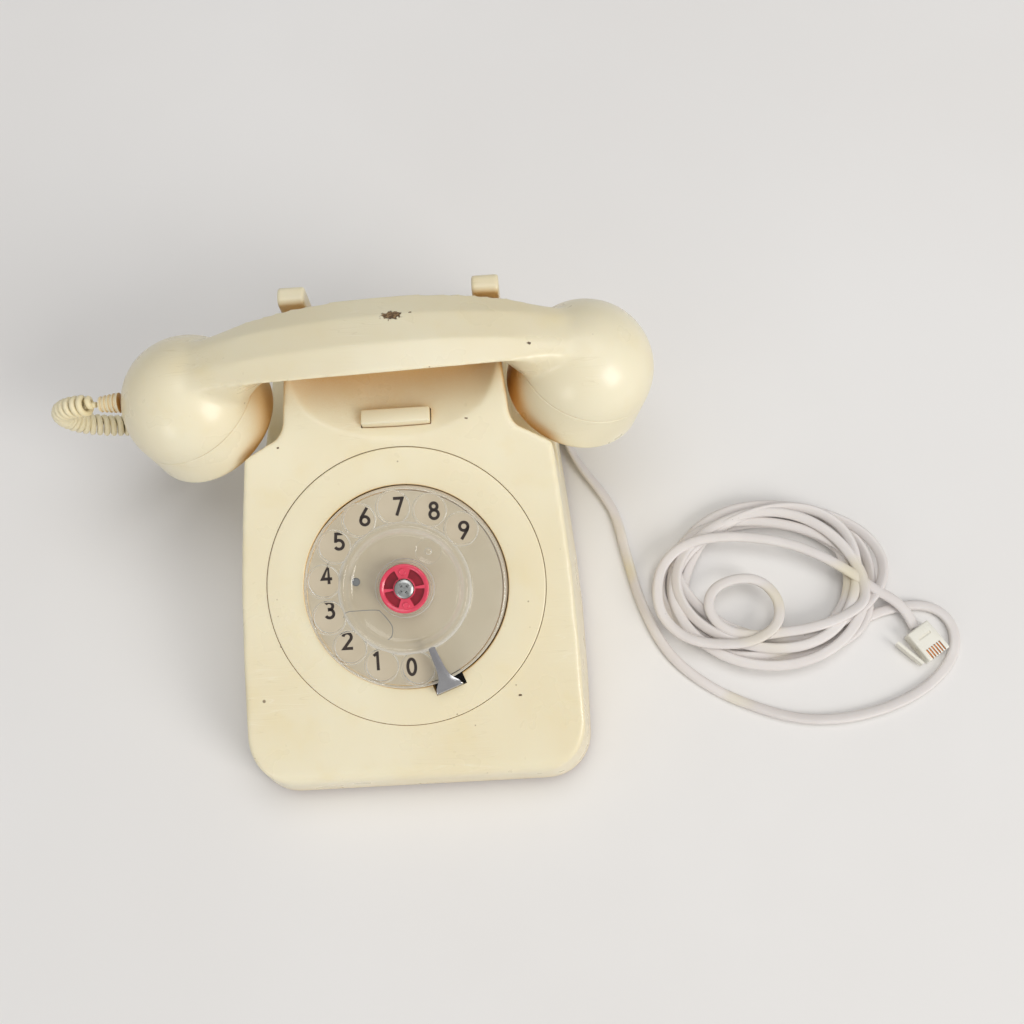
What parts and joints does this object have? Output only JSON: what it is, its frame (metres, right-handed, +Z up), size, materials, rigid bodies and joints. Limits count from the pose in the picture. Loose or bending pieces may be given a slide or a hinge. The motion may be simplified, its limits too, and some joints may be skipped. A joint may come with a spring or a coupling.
{
  "type": "rotary telephone",
  "caption": "Desk telephone with a sloping ivory case, clear finger dial, handset on a curly cord and flat line cord with a modular plug.",
  "frame": {"origin": "on the standing surface, under the middle of the handset's length and of the case's depth", "axes": "+X along the handset to the ear cap, +Z up, front of the case towards -Y"},
  "size_m": [0.4182, 0.2532, 0.1267],
  "materials": {
    "ivory_plastic": "glossy moulded, slightly yellowed",
    "clear_plastic": "clear polished acrylic",
    "red_plastic": "translucent glossy",
    "number_plate_print": "satin with printed numerals",
    "zinc_steel": "zinc plated",
    "polished_steel": "polished",
    "brass": "satin",
    "black_plastic": "moulded",
    "grey_plastic": "moulded",
    "board_laminate": "laminate",
    "copper_winding": "enamelled wire",
    "foot_rubber": "matt",
    "cord_plastic": "soft satin sheath",
    "white_plastic": "moulded"
  },
  "bodies": {
    "base": {"base_plate": "zinc_steel", "foot_front_left": "foot_rubber", "foot_front_right": "foot_rubber", "foot_rear_left": "foot_rubber", "foot_rear_right": "foot_rubber", "case_shell": "ivory_plastic", "case_screw_left": "zinc_steel", "case_screw_right": "zinc_steel", "circuit_board": "board_laminate", "induction_coil": "copper_winding", "capacitor": "grey_plastic", "terminal_block": "black_plastic", "dial_bezel": "ivory_plastic", "number_plate": "number_plate_print", "dial_frame": "zinc_steel", "finger_stop": "polished_steel", "pulse_contacts": "brass", "dial_spring": "zinc_steel", "governor_drum": "zinc_steel", "switch_frame": "zinc_steel", "switch_springs": "brass", "recall_contacts": "brass", "gong_left": "brass", "gong_right": "brass", "gong_screw_left": "zinc_steel", "gong_screw_right": "zinc_steel", "ringer_coil_left": "copper_winding", "ringer_coil_right": "copper_winding", "ringer_frame": "zinc_steel", "line_cord_gland": "white_plastic", "handset_cord_gland": "ivory_plastic", "line_cord": "cord_plastic", "line_cord_tail": "cord_plastic", "line_cord_coil": "cord_plastic", "handset_cord": "ivory_plastic", "line_plug": "white_plastic"},
    "dial": {"finger_plate": "clear_plastic", "dial_hub": "red_plastic", "hub_screw": "zinc_steel", "dial_shaft": "zinc_steel", "dial_gear": "brass"},
    "pulse_train": {"pulse_pinion": "brass", "pulse_cam": "black_plastic"},
    "governor": {"governor_rotor": "brass"},
    "handset": {"handset_shell": "ivory_plastic", "mouth_cap": "ivory_plastic", "ear_cap": "ivory_plastic", "transmitter_inset": "zinc_steel", "receiver_inset": "zinc_steel", "handset_cord_relief": "ivory_plastic"},
    "hook_switch": {"hook_plunger_left": "white_plastic", "hook_plunger_right": "white_plastic", "hook_bar": "grey_plastic"},
    "recall": {"recall_button": "ivory_plastic"},
    "hammer": {"bell_hammer": "zinc_steel"},
    "latch": {"plug_latch": "white_plastic"}
  },
  "joints": [
    {"name": "dial_turn", "type": "hinge", "parent": "base", "child": "dial", "pos_m": [0.004, -0.029, 0.0618], "axis": [0, 0.3843, -0.9232], "range_deg": [0, 329], "stiffness_Nm_per_rad": 0.012, "springref_deg": -68.75},
    {"name": "pulse_train_turn", "type": "hinge", "parent": "base", "child": "pulse_train", "pos_m": [-0.0289, -0.04316, 0.05591], "axis": [0, 0.3843, -0.9232], "range_deg": [-1700, 10]},
    {"name": "governor_turn", "type": "hinge", "parent": "base", "child": "governor", "pos_m": [0.024, -0.00131, 0.04733], "axis": [1, 0, 0], "range_deg": [-10, 3400]},
    {"name": "handset_lift", "type": "slide", "parent": "base", "child": "handset", "axis": [0, 0, 1], "range_m": [0, 0.15]},
    {"name": "hook_switch_rise", "type": "slide", "parent": "base", "child": "hook_switch", "axis": [0, 0, 1], "range_m": [0, 0.005]},
    {"name": "recall_press", "type": "slide", "parent": "base", "child": "recall", "axis": [0, 0, -1], "range_m": [0, 0.003], "stiffness_N_per_m": 400, "springref_m": -0.0015},
    {"name": "hammer_swing", "type": "hinge", "parent": "base", "child": "hammer", "pos_m": [0.004, 0.044, 0.02], "axis": [0, 0, 1], "range_deg": [-5, 5]},
    {"name": "latch_flex", "type": "hinge", "parent": "base", "child": "latch", "pos_m": [0.24163, -0.06475, 0.0035], "axis": [0, 0, 1], "range_deg": [0, 10], "stiffness_Nm_per_rad": 0.05}
  ],
  "couplings": [
    {"joint": "pulse_train_turn", "follows": "dial_turn", "ratio": -5},
    {"joint": "governor_turn", "follows": "dial_turn", "ratio": 10},
    {"joint": "hook_switch_rise", "follows": "handset_lift", "ratio": 0.033333}
  ]
}
